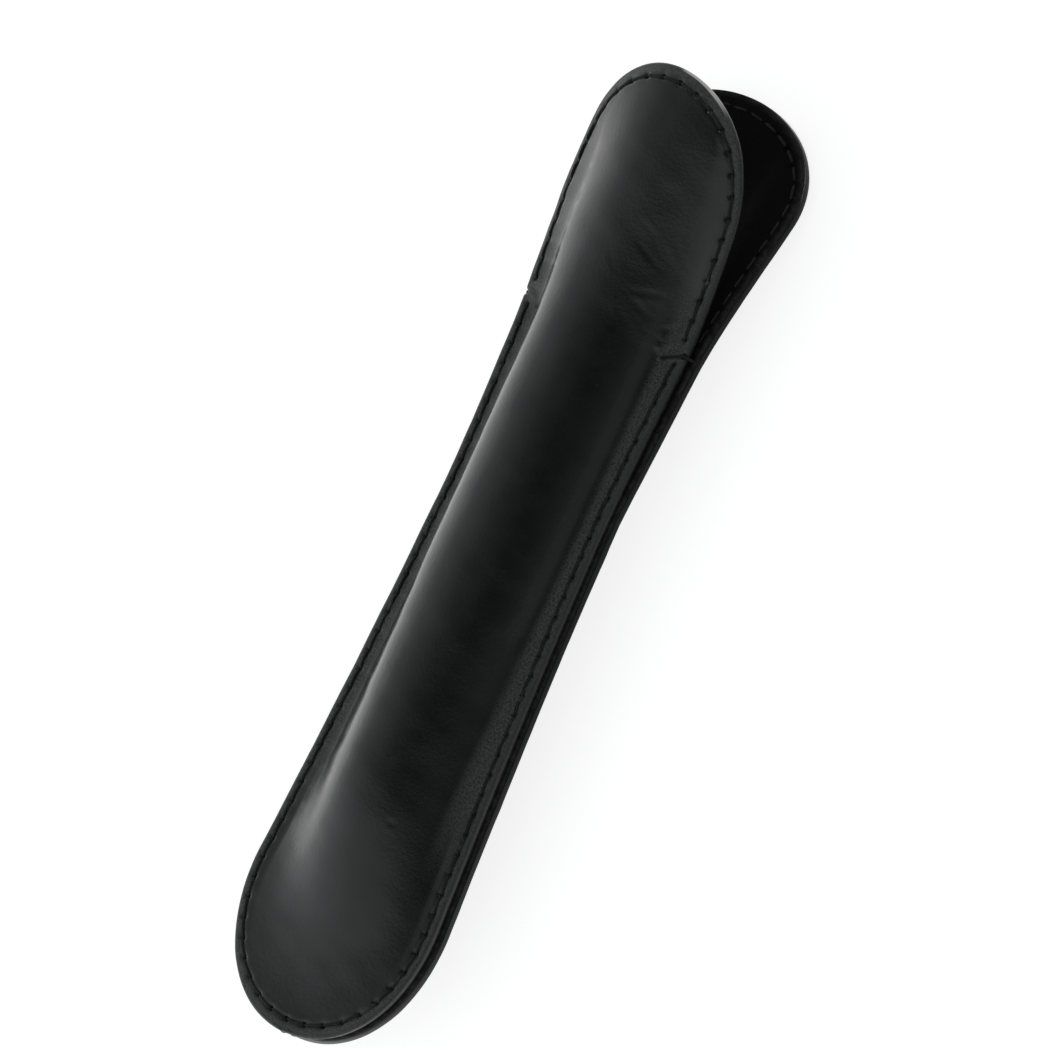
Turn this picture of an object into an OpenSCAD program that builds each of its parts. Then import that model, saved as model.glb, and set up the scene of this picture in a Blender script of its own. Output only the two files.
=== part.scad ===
// Single pen sleeve: two stitched leaves of lined leather, moulded round one pen.
// X runs across the sleeve, Y towards the mouth and Z out of the front face.
// The back lies on z = 0, and the origin is the middle of the footprint.

/* [Pen] */
// Diameter of the widest pen the pocket holds
pen_d = 15.5; // [11:0.5:18]

/* [Leather] */
// Thickness of the outer leather
leather_t = 1.25; // [0.8:0.05:2]
// Thickness of the lining
lining_t = 0.65; // [0.4:0.05:1.2]

/* [Body outline] */
// Length from the closed end to the throat, where the seam stops
body_len = 103; // [80:1:130]
// Length of the rounded closed end
toe_len = 21; // [15:0.5:28]
// Width of the flat sewn flange beside the tube at the waist
flange_w = 2.25; // [2:0.05:4]
// Extra half width at the closed end, over the waist
toe_swell = 2.45; // [1:0.05:4]
// Distance of the widest place of the closed end from its tip
toe_wide_y = 20; // [15:0.5:28]
// Distance of the waist below the throat
waist_drop = 24; // [15:1:40]

/* [Moulding] */
// Radius of the hollow where the tube meets the flange
foot_r = 1.0; // [0.5:0.05:2]
// How much the back of the tube is worn flat
rest_flat = 0.25; // [0.1:0.05:0.4]
// Height of the low bulge over the closed end
toe_rise = 5; // [2:0.1:7]
// Flat land between the edge and the bulge at the closed end
toe_land = 2.0; // [1.2:0.1:3.5]
// Length over which the bulge rises from the closed end
toe_rise_len = 33; // [26:0.5:36]
// Place where the round tube is fully formed, from the closed end
tube_from = 38; // [36:0.5:50]
// Length over which the round tube dies out towards the closed end
tube_fade = 24; // [16:0.5:30]

/* [Front lip] */
// Length of the front lip above the throat
front_lip_len = 33.1; // [20:0.1:45]
// Length of its rounded end
front_tip_len = 17.9; // [10:0.1:19]
// Extra half width of the lip over the waist
front_lip_swell = 1.5; // [0.5:0.05:3]
// Height that the lip's crown gains over the tube
front_lip_rise = 2.9; // [0:0.1:6]
// Radius of the lip's arched section at its end
front_lip_r = 18.3; // [17.5:0.1:40]

/* [Back lip] */
// Length of the back lip above the throat
back_lip_len = 35.5; // [20:0.1:45]
// Length of its rounded end
back_tip_len = 15.9; // [10:0.1:22]
// Extra half width of the lip over the waist
back_lip_swell = 2.3; // [0.5:0.05:3.5]
// Depth by which the lip's crown stands inside the tube's back
back_lip_tuck = 0.65; // [0.65:0.05:1.5]
// Radius of the lip's nearly flat section at its end
back_lip_r = 160; // [40:5:400]

/* [Stitching] */
// Distance from one stitch hole to the next
stitch_pitch = 2.8; // [2:0.1:4]
// Thickness of the thread
thread_d = 0.5; // [0.3:0.05:0.7]
// Distance of the stitches from the side edges
edge_margin = 1.2; // [0.9:0.05:1.6]
// Distance of the stitches from the rounded ends
end_margin = 1.9; // [1.2:0.1:2.6]
// Length of the stretch above the throat where a lip has no stitch
throat_free = 1.4; // [1:0.1:3]
// Distance of the seam's last hole below the throat
seam_free = 2.6; // [2.4:0.1:5]
// Distance below the throat where the slanting end stitch goes over the edge
tack_drop = 0.6; // [0.4:0.05:1]
// Length along the sleeve by which the end stitch slants
tack_slant = 1.3; // [0.5:0.1:1.5]
// How far the end stitch reaches in from the line of the seam
tack_reach = 2.0; // [1:0.1:2.2]

/* [Lip bend] */
// Distance below the throat where the two leaves start to part
part_below = 3; // [2:0.1:6]
// Gap between the body and a lip at the crown, where the lip bends
bend_gap = 0.3; // [0.2:0.05:0.6]
// Angle by which a lip can be pressed in
press_in = 3; // [0:1:8]

/* [Hidden] */

leather_black = "#202221";
lining_black = "#141516";
thread_black = "#2b2c2c";

// One leaf is the outer leather and the lining together
leaf_t = leather_t + lining_t;
tube_r = pen_d / 2 + leaf_t;

// Centre of the hollow between the tube and the flange, and the angle where the tube ends
foot_x = sqrt(pow(tube_r + foot_r, 2) - pow(leaf_t + foot_r, 2));
foot_a = asin((leaf_t + foot_r) / (tube_r + foot_r));

waist_x = foot_x + flange_w;
waist_y = body_len - waist_drop;
front_tip_y = body_len + front_lip_len;
back_tip_y = body_len + back_lip_len;

// The leaves part here, and the lips reach their full arch here
part_y = body_len - part_below;
arch_y = front_tip_y;
mid_z = tube_r - rest_flat;
footprint_y = max(front_tip_y, back_tip_y) / 2;

// A lip's first section leans away from the body by this much more than it is pressed in
press_spare = 2;
bend_reach = bend_gap + tube_r * tan(press_in + press_spare);
// The lean has run out this far above the throat
lip_from = bend_reach + 1;

// Steps round a section: tube, hollow and flange on each side of the crown
tube_steps = 6;
foot_steps = 2;
flange_steps = 2;
half_steps = tube_steps + foot_steps + flange_steps;
// Steps round a rounded end, and spacing of the sections elsewhere
toe_steps = 9;
tip_steps = 7;
fade_step = 4.5;
body_step = 11;
lip_step = 4.5;
// First angle of a rounded end, so that its last edge has some width
end_start = 4;

// Round sides of a thread, and points along half a stitch line
thread_sides = 16;
line_steps = 60;
// Two threads share each hole. On a face the thread lies half sunk into the leather.
hole_d = thread_d * 1.2;
bar_z = thread_d / 4;

// Shape of the curve between the waist and the two wide places
toe_power = 1.5;
lip_power = 1.3;
// Distance above the throat where the lip's extra width is measured
lip_gauge = 15;

function smooth(a, b, y) =
    let (q = min(1, max(0, (y - a) / (b - a)))) q * q * (3 - 2 * q);
function mix(p, q, w) = p * (1 - w) + q * w;

// A leaf's measures: its tip, the length of its rounded tip and its extra lip width
front_leaf = [front_tip_y, front_tip_len, front_lip_swell];
back_leaf = [back_tip_y, back_tip_len, back_lip_swell];

// Half width of the leaf before its ends are rounded, less a margin
function side_x(y, leaf, margin = 0) =
    waist_x - margin + (y < waist_y
        ? toe_swell * pow((waist_y - y) / (waist_y - toe_wide_y), toe_power)
        : leaf[2] * pow((y - waist_y) / (waist_drop + lip_gauge), lip_power));

// Elliptic rounding of both ends, as a factor on the half width
function end_factor(y, leaf, margin = 0) =
    let (
        toe_q = (toe_len - y) / (toe_len - margin),
        tip_q = (y - leaf[0] + leaf[1]) / (leaf[1] - margin)
    )
    sqrt(max(0, 1 - pow(max(0, toe_q), 2))) * sqrt(max(0, 1 - pow(max(0, tip_q), 2)));

function half_w(y, leaf) = side_x(y, leaf) * end_factor(y, leaf);
function stitch_x(y, leaf) =
    side_x(y, leaf, edge_margin) * end_factor(y, leaf, end_margin);

// Section of the tube and its flange at depth d below the outer face. u runs from 0
// at the crown to half_steps at the edge, and edge_x is the leaf's half width.
function tube_point(u, d, edge_x) =
    u <= tube_steps ? let (a = 90 - (90 - foot_a) * u / tube_steps)
        [(tube_r - d) * cos(a), (tube_r - d) * sin(a)]
    : u <= tube_steps + foot_steps
    ? let (a = foot_a + (90 - foot_a) * (u - tube_steps) / foot_steps)
        [foot_x - (foot_r + d) * cos(a), leaf_t + foot_r - (foot_r + d) * sin(a)]
    : [mix(foot_x, edge_x, (u - tube_steps - foot_steps) / flange_steps), leaf_t - d];

// Low bulge over the closed end
function toe_point(x, d, y, edge_x) =
    let (
        rise = toe_rise * smooth(edge_margin + leaf_t, toe_rise_len, y),
        base = max(0.5, edge_x - toe_land),
        q = min(1, x / base),
        slope = -4 * rise * q * (1 - q * q) / base,
        n = sqrt(1 + slope * slope)
    )
    [x + d * slope / n, leaf_t + rise * pow(1 - q * q, 2) - d / n];

// Arched section of a lip, a plain arc
function arch_point(x, d, crown_z, r) =
    [x * (r - d) / r, crown_z - r + (r - d) * sqrt(1 - pow(x / r, 2))];

// A point of a leaf, with side = 1 to the right and -1 to the left of the crown
function leaf_xz(u, side, y, d, leaf, crown_z, arch_r) =
    let (
        edge = half_w(y, leaf),
        tube_edge = max(edge, waist_x),
        shrink = edge / tube_edge,
        tube_p = tube_point(u, d, tube_edge),
        x = tube_point(u, 0, tube_edge)[0] * shrink,
        toe_p = toe_point(x, d, y, edge),
        lip_p = arch_point(x, d, crown_z, arch_r),
        low_p = mix(toe_p, tube_p, smooth(tube_from - tube_fade, tube_from, y)),
        p = mix(low_p, lip_p, smooth(part_y, arch_y, y))
    )
    [side * p[0], p[1]];

// Points of the front and the back leaf. The back of the tube is worn flat.
front_crown = tube_r + front_lip_rise;
back_crown = tube_r - back_lip_tuck;
function front_point(u, side, y, d) =
    let (p = leaf_xz(u, side, y, d, front_leaf, front_crown, front_lip_r))
    [p[0], y, p[1]];
function back_point(u, side, y, d) =
    let (p = leaf_xz(u, side, y, d, back_leaf, back_crown, back_lip_r))
    [p[0], y, -min(p[1], mid_z - d * (1 - rest_flat / leaf_t))];
function leaf_point(front, u, side, y, d) =
    front ? front_point(u, side, y, d) : back_point(u, side, y, d);

// Places along Y where the sections are taken
function even(a, b, step) =
    let (n = max(1, ceil((b - a) / step))) [for (i = [1:n]) mix(a, b, i / n)];
body_ys = concat(
    [for (i = [0:toe_steps])
        toe_len * (1 - cos(end_start + (90 - end_start) * i / toe_steps))],
    even(toe_len, tube_from, fade_step),
    even(tube_from, part_y, body_step),
    [body_len]
);
function lip_ys(leaf) =
    let (
        start = leaf[0] - leaf[1],
        from = min(body_len + lip_from, start - 1)
    )
    concat(
        [body_len, from],
        even(from, start, lip_step),
        [for (i = [1:tip_steps]) start + leaf[1] * sin((90 - end_start) * i / tip_steps)]
    );

// The lip's first section leans away from the body, so that the lip can be pressed in
function bend_y(front, u, side, y, d) =
    y > body_len ? y
    : let (p = leaf_point(front, u, side, body_len, d))
        body_len + bend_gap + (tube_r - abs(p[2])) * tan(press_in + press_spare);

// One layer of a leaf between two depths, as a closed shell over a grid of sections
module layer(front, ys, d0, d1, bend = false) {
    cols = 2 * half_steps + 1;
    rows = len(ys);
    pts = [for (d = [d0, d1]) for (y = ys) for (k = [0:cols - 1])
        let (
            u = abs(k - half_steps),
            side = k < half_steps ? -1 : 1,
            yy = bend ? bend_y(front, u, side, y, d) : y
        )
        leaf_point(front, u, side, yy, d)];
    function id(s, j, k) = s * rows * cols + j * cols + k;
    grid = [for (s = [0, 1]) for (j = [0:rows - 2]) for (k = [0:cols - 2])
        each (s == 0
            ? [[id(0, j, k), id(0, j + 1, k), id(0, j + 1, k + 1)],
               [id(0, j, k), id(0, j + 1, k + 1), id(0, j, k + 1)]]
            : [[id(1, j, k), id(1, j + 1, k + 1), id(1, j + 1, k)],
               [id(1, j, k), id(1, j, k + 1), id(1, j + 1, k + 1)]])];
    edges = [for (j = [0:rows - 2]) each [
        [id(0, j, 0), id(1, j, 0), id(1, j + 1, 0)],
        [id(0, j, 0), id(1, j + 1, 0), id(0, j + 1, 0)],
        [id(0, j, cols - 1), id(1, j + 1, cols - 1), id(1, j, cols - 1)],
        [id(0, j, cols - 1), id(0, j + 1, cols - 1), id(1, j + 1, cols - 1)]]];
    ends = [for (k = [0:cols - 2]) each [
        [id(0, 0, k), id(0, 0, k + 1), id(1, 0, k + 1)],
        [id(0, 0, k), id(1, 0, k + 1), id(1, 0, k)],
        [id(0, rows - 1, k), id(1, rows - 1, k + 1), id(0, rows - 1, k + 1)],
        [id(0, rows - 1, k), id(1, rows - 1, k), id(1, rows - 1, k + 1)]]];
    faces = concat(grid, edges, ends);
    polyhedron(pts, front ? faces : [for (f = faces) [f[0], f[2], f[1]]]);
}

module placed() {
    translate([0, -footprint_y, mid_z]) children();
}

// A straight length of thread between two points
module strand(a, b, d = thread_d) {
    v = b - a;
    translate(a) rotate([0, acos(v[2] / norm(v)), atan2(v[1], v[0])])
        cylinder(h = norm(v), d = d, $fn = thread_sides);
}

// Step u round a section where the leaf's outer face stands at x, found by halving
function u_at(front, y, x, lo = 0, hi = half_steps, n = 14) =
    n == 0 ? (lo + hi) / 2
    : let (m = (lo + hi) / 2)
        leaf_point(front, m, 1, y, 0)[0] < x ? u_at(front, y, x, m, hi, n - 1)
        : u_at(front, y, x, lo, m, n - 1);

// Lengths along a line of points, and the point at a given length
function run(pts, i = 0, sum = 0) =
    i == len(pts) - 1 ? [sum] : concat([sum], run(pts, i + 1, sum + norm(pts[i + 1] - pts[i])));
function point_at(pts, marks, s) =
    let (
        k = [for (i = [0:len(marks) - 2]) if (marks[i] <= s) i],
        i = k[len(k) - 1]
    )
    mix(pts[i], pts[i + 1], (s - marks[i]) / (marks[i + 1] - marks[i]));

// Stitch line round a lip as [x, y] in plan, from the left throat to the right one
function lip_line(leaf) =
    let (
        start = body_len + throat_free + bend_reach,
        tip = leaf[0] - end_margin,
        right = [for (i = [0:line_steps])
            let (y = start + (tip - start) * sin(90 * i / line_steps))
            [stitch_x(y, leaf), y]]
    )
    concat([for (p = right) [-p[0], p[1]]], [for (i = [line_steps - 1:-1:0]) right[i]]);

// Stitch line of the body's seam in plan, from the left throat round to the right one
seam_line =
    let (
        top = body_len - seam_free,
        right = [for (i = [0:line_steps])
            let (y = end_margin + (top - end_margin) * (1 - cos(90 * i / line_steps)))
            [stitch_x(y, front_leaf), y]]
    )
    concat([for (i = [line_steps:-1:0]) [-right[i][0], right[i][1]]],
        [for (i = [1:line_steps]) right[i]]);

// Holes at an even pitch along a line
function holes(line) =
    let (
        marks = run(line),
        total = marks[len(marks) - 1],
        n = round(total / stitch_pitch)
    )
    [for (i = [0:n]) point_at(line, marks, min(total * i / n, total - 0.001))];

// A thread along a row of holes: a bar on the face from hole to hole, and in each hole
// a leg that goes in as far as the other thread. tops and roots are the ends of the legs.
module row_thread(tops, roots) {
    for (i = [0:len(tops) - 1]) strand(roots[i], tops[i], hole_d);
    for (i = [0:len(tops) - 2]) {
        inset = (tops[i + 1] - tops[i]) / norm(tops[i + 1] - tops[i]) * thread_d / 8;
        strand(tops[i] + inset, tops[i + 1] - inset);
    }
}

// Thread of the body's seam on one face, with side = 1 on the front and -1 on the back
module seam_thread(side) {
    h = holes(seam_line);
    top = side * (leaf_t + bar_z);
    row_thread([for (p = h) [p[0], p[1], top]], [for (p = h) [p[0], p[1], 0]]);
}

// A point of a lip over a place in plan, on the line through its two faces
function lip_thread_point(front, p, depth) =
    let (
        side = p[0] < 0 ? -1 : 1,
        u = u_at(front, p[1], abs(p[0])),
        a = leaf_point(front, u, side, p[1], 0),
        b = leaf_point(front, u, side, p[1], leaf_t)
    )
    a + (b - a) / norm(b - a) * depth;

// Thread of a lip's row of stitches, on its outer or its lining face
module lip_thread(front, outer) {
    h = holes(lip_line(front ? front_leaf : back_leaf));
    face = outer ? -bar_z : leaf_t + bar_z;
    row_thread([for (p = h) lip_thread_point(front, p, face)],
        [for (p = h) lip_thread_point(front, p, leaf_t / 2)]);
}

// Slanting end stitch that goes over the edge at the end of the seam, where the mouth
// pulls most. It runs on both faces, from one hole in the leaves.
module throat_tack(side) {
    y = body_len - tack_drop;
    low = y - tack_slant;
    z = leaf_t + bar_z;
    outer = half_w(y, front_leaf) + bar_z;
    inner = stitch_x(y, front_leaf) - tack_reach;
    strand([side * inner, low, -z], [side * inner, low, z], hole_d);
    for (face = [-z, z]) strand([side * inner, low, face], [side * outer, y, face]);
    strand([side * outer, y, -z - thread_d / 2], [side * outer, y, z + thread_d / 2]);
}

module front_body_leather() {
    color(leather_black) placed() layer(true, body_ys, 0, leather_t);
}
module front_body_lining() {
    color(lining_black) placed() layer(true, body_ys, leather_t, leaf_t);
}
module back_body_leather() {
    color(leather_black) placed() layer(false, body_ys, 0, leather_t);
}
module back_body_lining() {
    color(lining_black) placed() layer(false, body_ys, leather_t, leaf_t);
}
module front_seam_thread() {
    color(thread_black) placed() seam_thread(1);
}
module back_seam_thread() {
    color(thread_black) placed() seam_thread(-1);
}
module left_throat_tack() {
    color(thread_black) placed() throat_tack(-1);
}
module right_throat_tack() {
    color(thread_black) placed() throat_tack(1);
}
module front_lip_leather() {
    color(leather_black) placed() layer(true, lip_ys(front_leaf), 0, leather_t, true);
}
module front_lip_lining() {
    color(lining_black) placed() layer(true, lip_ys(front_leaf), leather_t, leaf_t, true);
}
module front_lip_outer_thread() {
    color(thread_black) placed() lip_thread(true, true);
}
module front_lip_inner_thread() {
    color(thread_black) placed() lip_thread(true, false);
}
module back_lip_leather() {
    color(leather_black) placed() layer(false, lip_ys(back_leaf), 0, leather_t, true);
}
module back_lip_lining() {
    color(lining_black) placed() layer(false, lip_ys(back_leaf), leather_t, leaf_t, true);
}
module back_lip_outer_thread() {
    color(thread_black) placed() lip_thread(false, true);
}
module back_lip_inner_thread() {
    color(thread_black) placed() lip_thread(false, false);
}

front_body_leather();
front_body_lining();
back_body_leather();
back_body_lining();
front_seam_thread();
back_seam_thread();
left_throat_tack();
right_throat_tack();
front_lip_leather();
front_lip_lining();
front_lip_outer_thread();
front_lip_inner_thread();
back_lip_leather();
back_lip_lining();
back_lip_outer_thread();
back_lip_inner_thread();
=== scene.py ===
"""Looks of a single pen sleeve: moulded black leather, thin linings and waxed stitches.

The shape follows the CAD part. All shape functions work in millimetres in the sleeve's
own frame: x across, y from the closed end, z from the plane where the leaves meet.
"""
import math

import bmesh
import bpy
import numpy as np
from mathutils import Matrix, Vector


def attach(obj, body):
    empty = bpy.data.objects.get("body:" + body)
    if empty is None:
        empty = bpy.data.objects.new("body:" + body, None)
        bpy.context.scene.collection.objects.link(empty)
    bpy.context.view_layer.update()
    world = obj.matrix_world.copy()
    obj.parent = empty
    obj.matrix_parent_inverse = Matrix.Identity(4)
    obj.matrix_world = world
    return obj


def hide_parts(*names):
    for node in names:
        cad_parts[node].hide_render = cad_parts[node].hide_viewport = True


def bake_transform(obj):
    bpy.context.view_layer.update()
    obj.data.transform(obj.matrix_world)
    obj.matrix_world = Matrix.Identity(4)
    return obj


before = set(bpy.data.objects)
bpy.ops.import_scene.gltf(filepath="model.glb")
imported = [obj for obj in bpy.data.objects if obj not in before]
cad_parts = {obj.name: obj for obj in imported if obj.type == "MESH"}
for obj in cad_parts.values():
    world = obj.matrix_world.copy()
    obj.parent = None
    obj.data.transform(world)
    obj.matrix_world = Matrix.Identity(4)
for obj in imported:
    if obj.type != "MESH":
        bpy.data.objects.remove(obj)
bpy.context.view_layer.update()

RNG = np.random.default_rng(7)
METRE = 0.001

# Sizes of the part, in millimetres, as in its source
PEN_D = 15.5
LEATHER_T = 1.25
LINING_T = 0.65
BODY_LEN = 103.0
TOE_LEN = 21.0
FLANGE_W = 2.25
TOE_SWELL = 2.45
TOE_WIDE_Y = 20.0
TOE_POWER = 1.5
WAIST_DROP = 24.0
LIP_GAUGE = 15.0
FOOT_R = 1.0
REST_FLAT = 0.25
TOE_RISE = 5.0
TOE_LAND = 2.0
TOE_RISE_LEN = 33.0
TUBE_FROM = 38.0
TUBE_FADE = 24.0
FRONT_LIP_LEN = 33.1
FRONT_LIP_RISE = 2.9
BACK_LIP_LEN = 35.5
BACK_LIP_TUCK = 0.65
EDGE_MARGIN = 1.2
END_MARGIN = 1.9
STITCH_PITCH = 2.8
THROAT_FREE = 1.4
SEAM_FREE = 2.6
TACK_DROP = 0.6
TACK_SLANT = 1.3
TACK_REACH = 2.0
PART_BELOW = 3.0

LEAF_T = LEATHER_T + LINING_T
TUBE_R = PEN_D / 2 + LEAF_T
WAIST_X = math.sqrt((TUBE_R + FOOT_R) ** 2 - (LEAF_T + FOOT_R) ** 2) + FLANGE_W
WAIST_Y = BODY_LEN - WAIST_DROP
MID_Z = TUBE_R - REST_FLAT
PART_Y = BODY_LEN - PART_BELOW
ARCH_Y = BODY_LEN + FRONT_LIP_LEN
FOOTPRINT_Y = (BODY_LEN + BACK_LIP_LEN) / 2

# In use the hollow beside the tube is softer than in the plain construction
SOFT_FOOT_R = 2.3
FOOT_X = math.sqrt((TUBE_R + SOFT_FOOT_R) ** 2 - (LEAF_T + SOFT_FOOT_R) ** 2)
FOOT_A = math.asin((LEAF_T + SOFT_FOOT_R) / (TUBE_R + SOFT_FOOT_R))
SOFTEN_PASSES = 70
SOFTEN_UP = (4, 14)
SOFTEN_DOWN = (34, 66)

# The stitches press the flange thin, so it falls towards the edge
FLANGE_FALL = 0.13
FLANGE_FALL_LEN = 2.0

# Left half of the front lip: where its rim lies, how round its crown is, where its flank
# starts to run straight, and where it turns into the same arch as the right half
LEFT_RIM_X = 14.4
LEFT_RIM_LIFT = 1.0
LEFT_BEND = 0.55
LEFT_FILL = 0.78
LEFT_FILL_FROM = BODY_LEN - 6
LEFT_FILL_TO = BODY_LEN + 10
LEFT_FADE_FROM = BODY_LEN + 16
LEFT_FADE_TO = BODY_LEN + 43
LEFT_FULL_RUN = 10
LEFT_REACH = 0.45
LEFT_REACH_RISE = 24
LEFT_REACH_FALL = 12
LEFT_REACH_LIMIT = 1.2
CROWN_BLEND = 3

# The toe's bulge reaches at least this far to each side
TOE_LEAST_X = 0.5

# Section of a leaf by u: tube, hollow and flange
TUBE_U, FOOT_U, EDGE_U = 6.0, 8.0, 10.0
HALVINGS = 26


class Leaf:
    """One leaf: where its tip is, how its lip is shaped, and which way it faces. The right
    half of its edge stands out by over along the body and by reach at the lip's tip."""

    def __init__(self, name, sign, tip_y, tip_len, swell, power, crown, arch_r, over, reach):
        self.name, self.sign, self.tip_y, self.tip_len = name, sign, tip_y, tip_len
        self.swell, self.power, self.crown, self.arch_r = swell, power, crown, arch_r
        self.over, self.reach = over, reach


# The lips' ends are fitted to the photo, close to the part's. The front lip has sprung
# open on its right, so its arch is flatter there than on its left.
FRONT = Leaf("front", 1, tip_y=BODY_LEN + 33.5, tip_len=18.3, swell=1.5, power=1.3,
             crown=TUBE_R + FRONT_LIP_RISE, arch_r=27.0, over=0.0, reach=0.5)
BACK = Leaf("back", -1, tip_y=138.4, tip_len=14.4, swell=2.30, power=1.00,
            crown=TUBE_R - BACK_LIP_TUCK, arch_r=160.0, over=0.22, reach=0.0)


# Shape of a leaf


def smooth(a, b, y):
    """Nought up to a, one from b on, and a soft step between them."""
    q = np.clip((y - a) / (b - a), 0, 1)
    return q * q * (3 - 2 * q)


def side_x(y, leaf):
    """Half width of the outline before its two ends are rounded."""
    toe = TOE_SWELL * (np.maximum(0, WAIST_Y - y) / (WAIST_Y - TOE_WIDE_Y)) ** TOE_POWER
    lip = leaf.swell * (np.maximum(0, y - WAIST_Y) / (WAIST_DROP + LIP_GAUGE)) ** leaf.power
    return WAIST_X + np.where(y < WAIST_Y, toe, lip)


def end_factor(y, leaf):
    """Rounds the outline off at the closed end and at the lip's tip."""
    toe_q = np.clip((TOE_LEN - y) / TOE_LEN, 0, 1)
    tip_q = np.clip((y - leaf.tip_y + leaf.tip_len) / leaf.tip_len, 0, 1)
    return np.sqrt(1 - toe_q ** 2) * np.sqrt(1 - tip_q ** 2)


def half_w(y, leaf):
    """Half width of the finished outline."""
    return side_x(y, leaf) * end_factor(y, leaf)


def tube_point(u, edge_x):
    """Section of the tube and its flange, with u = 0 at the crown and EDGE_U at the edge."""
    a = math.pi / 2 - (math.pi / 2 - FOOT_A) * u / TUBE_U
    b = FOOT_A + (math.pi / 2 - FOOT_A) * (u - TUBE_U) / (FOOT_U - TUBE_U)
    w = (u - FOOT_U) / (EDGE_U - FOOT_U)
    x = np.where(u <= TUBE_U, TUBE_R * np.cos(a), np.where(
        u <= FOOT_U, FOOT_X - SOFT_FOOT_R * np.cos(b), FOOT_X + (edge_x - FOOT_X) * w))
    z = np.where(u <= TUBE_U, TUBE_R * np.sin(a), np.where(
        u <= FOOT_U, LEAF_T + SOFT_FOOT_R * (1 - np.sin(b)), LEAF_T))
    return x, z


def toe_z(x, y, edge_x):
    """Height of the low round toe."""
    rise = TOE_RISE * smooth(EDGE_MARGIN + LEAF_T, TOE_RISE_LEN, y)
    q = np.minimum(1, x / np.maximum(TOE_LEAST_X, edge_x - TOE_LAND))
    return LEAF_T + rise * (1 - q * q) ** 2


def left_half(x, y, low_z, lip_w):
    """Height of the front lip's left half, and its share in the lip's shape there. Above
    the throat its flank runs nearly straight from the crown down to the rim."""
    lift = FRONT_LIP_RISE * lip_w
    crown = TUBE_R + lift
    rolled = low_z + lift * (1 - (x / LEFT_RIM_X) ** 2)
    rim = LEAF_T + LEFT_RIM_LIFT * lip_w ** 2
    bend = np.sqrt((x / LEFT_RIM_X) ** 2 + LEFT_BEND ** 2) - LEFT_BEND
    full = np.sqrt(1 + LEFT_BEND ** 2) - LEFT_BEND
    flank = crown - (crown - rim) * bend / full
    fill = LEFT_FILL * smooth(LEFT_FILL_FROM, LEFT_FILL_TO, y)
    fill = fill + (1 - LEFT_FILL) * smooth(LEFT_FADE_FROM, LEFT_FADE_FROM + LEFT_FULL_RUN, y)
    return rolled + (flank - rolled) * fill, 1 - smooth(LEFT_FADE_FROM, LEFT_FADE_TO, y)


def leaf_xz(u, y, leaf, left=0.0):
    """Outer face of a leaf at station y. z is counted away from the seam's plane. The left
    half of the front lip keeps more of the tube's roll."""
    edge = half_w(y, leaf)
    tube_edge = np.maximum(edge, WAIST_X)
    tube_x, tube_z = tube_point(u, tube_edge)
    x = tube_x * edge / tube_edge
    tube_w = smooth(TUBE_FROM - TUBE_FADE, TUBE_FROM, y)
    lip_w = smooth(PART_Y, ARCH_Y, y)
    low_x = x + (tube_x - x) * tube_w
    toe = toe_z(x, y, edge)
    fall = FLANGE_FALL * FLANGE_FALL_LEN * (np.exp(-(edge - x) / FLANGE_FALL_LEN) - 1)
    low_z = toe + (tube_z - toe) * tube_w - fall
    arch = leaf.crown - leaf.arch_r + np.sqrt(leaf.arch_r ** 2 - x * x)
    z = low_z + (arch - low_z) * lip_w
    if leaf is FRONT:
        left_z, share = left_half(x, y, low_z, lip_w)
        z = z + (left_z - z) * left * share
    return low_x + (x - low_x) * lip_w, z


def outline_x(y, leaf):
    """Half width of the leaf's outer face at its edge."""
    return leaf_xz(np.full_like(y, EDGE_U), y, leaf)[0]


def face_z(x, y, leaf):
    """Height of the outer face over a place in plan, by halving on u."""
    ax = np.abs(x)
    lo, hi = np.zeros_like(ax), np.full_like(ax, EDGE_U + 2)
    for _ in range(HALVINGS):
        mid = (lo + hi) / 2
        short = leaf_xz(mid, y, leaf)[0] < ax
        lo, hi = np.where(short, mid, lo), np.where(short, hi, mid)
    z = leaf_xz((lo + hi) / 2, y, leaf, 1 - smooth(-CROWN_BLEND, CROWN_BLEND, x))[1]
    return np.minimum(z, MID_Z) if leaf.sign < 0 else z


def spread_x(x, y, leaf):
    """Moves each half out to where the worn leaf's edge stands."""
    lip = smooth(PART_Y, ARCH_Y, y)
    out = (leaf.over * (1 - lip) + leaf.reach * lip) * np.clip(x / WAIST_X, 0, 1)
    if leaf is FRONT:
        bulge = smooth(PART_Y, PART_Y + LEFT_REACH_RISE, y)
        bulge = bulge * (1 - smooth(ARCH_Y - LEFT_REACH_FALL, ARCH_Y, y))
        out = out + LEFT_REACH * bulge * np.clip(x / WAIST_X, -LEFT_REACH_LIMIT, 0)
    return x + out


def soften(z, y, keep):
    """Rounds off the hollows beside the tube where it grows out of the closed end. Rows
    run along the first axis, and the outer columns, as many as keep says, stay as they
    are."""
    z = z.copy()
    near = smooth(*SOFTEN_UP, y) * (1 - smooth(*SOFTEN_DOWN, y))
    w = 0.5 * near[:, keep:-keep]
    for _ in range(SOFTEN_PASSES):
        mid = z[:, keep:-keep]
        beside = (z[:, keep - 1:-keep - 1] + z[:, keep + 1:z.shape[1] - keep + 1]) / 2
        z[:, keep:-keep] = mid + w * (beside - mid)
    return z


def to_metres(p):
    """From the sleeve's own frame, in millimetres, to the part's frame."""
    q = np.array(p, float)
    q[..., 1] -= FOOTPRINT_Y
    q[..., 2] += MID_Z
    return q * METRE


# Outline and stitch line

END_POINTS = 400
SIDE_POINTS = 800
OUTLINE_STEP = 0.1
# The seam's last hole lies this much past the place where its free end starts
LAST_HOLE_REACH = 0.6


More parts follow.
